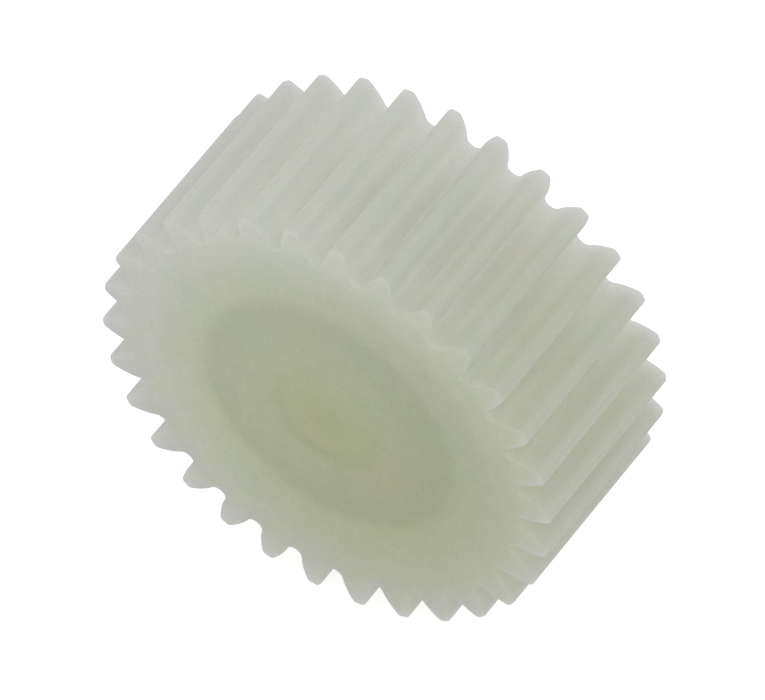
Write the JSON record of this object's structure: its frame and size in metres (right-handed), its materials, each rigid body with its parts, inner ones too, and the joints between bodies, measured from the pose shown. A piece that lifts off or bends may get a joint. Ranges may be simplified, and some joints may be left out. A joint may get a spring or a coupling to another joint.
{
  "type": "idler spur gear",
  "caption": "Moulded nylon idler spur gear with straight involute teeth and a closed front face, running on two shielded ball bearings held in a rear pocket by a retaining ring.",
  "frame": {"origin": "middle of the gear, on its axis and halfway across its face width", "axes": "the gear's axis is +Y, its closed front face looks to -Y, and a tooth gap points straight down to -Z, so it stands on two teeth"},
  "size_m": [0.04, 0.0168, 0.0398],
  "materials": {
    "natural_nylon": "satin, translucent natural nylon",
    "spring_steel": "oiled black spring steel",
    "bearing_steel": "ground",
    "pressed_steel": "rolled sheet, satin",
    "cage_nylon": "satin",
    "ball_steel": "polished"
  },
  "bodies": {
    "gear": {"gear_body": "natural_nylon", "retaining_ring": "spring_steel", "front_bearing_outer_ring": "bearing_steel", "front_bearing_front_shield": "pressed_steel", "front_bearing_rear_shield": "pressed_steel", "rear_bearing_outer_ring": "bearing_steel", "rear_bearing_front_shield": "pressed_steel", "rear_bearing_rear_shield": "pressed_steel"},
    "front_inner_ring": {"front_bearing_inner_ring": "bearing_steel"},
    "rear_inner_ring": {"rear_bearing_inner_ring": "bearing_steel"},
    "front_ball_set": {"front_bearing_cage": "cage_nylon", "front_bearing_ball_1": "ball_steel", "front_bearing_ball_2": "ball_steel", "front_bearing_ball_3": "ball_steel", "front_bearing_ball_4": "ball_steel", "front_bearing_ball_5": "ball_steel", "front_bearing_ball_6": "ball_steel", "front_bearing_ball_7": "ball_steel"},
    "rear_ball_set": {"rear_bearing_cage": "cage_nylon", "rear_bearing_ball_1": "ball_steel", "rear_bearing_ball_2": "ball_steel", "rear_bearing_ball_3": "ball_steel", "rear_bearing_ball_4": "ball_steel", "rear_bearing_ball_5": "ball_steel", "rear_bearing_ball_6": "ball_steel", "rear_bearing_ball_7": "ball_steel"}
  },
  "joints": [
    {"name": "front_inner_ring_spin", "type": "hinge", "parent": "gear", "child": "front_inner_ring", "pos_m": [0, -0.00392, 0], "axis": [0, 1, 0], "continuous": true},
    {"name": "rear_inner_ring_spin", "type": "hinge", "parent": "gear", "child": "rear_inner_ring", "pos_m": [0, 0.00317, 0], "axis": [0, 1, 0], "continuous": true},
    {"name": "front_ball_set_spin", "type": "hinge", "parent": "gear", "child": "front_ball_set", "pos_m": [0, -0.00392, 0], "axis": [0, 1, 0], "continuous": true},
    {"name": "rear_ball_set_spin", "type": "hinge", "parent": "gear", "child": "rear_ball_set", "pos_m": [0, 0.00317, 0], "axis": [0, 1, 0], "continuous": true}
  ],
  "couplings": [
    {"joint": "front_ball_set_spin", "follows": "front_inner_ring_spin", "ratio": 0.3677},
    {"joint": "rear_ball_set_spin", "follows": "rear_inner_ring_spin", "ratio": 0.3677}
  ]
}
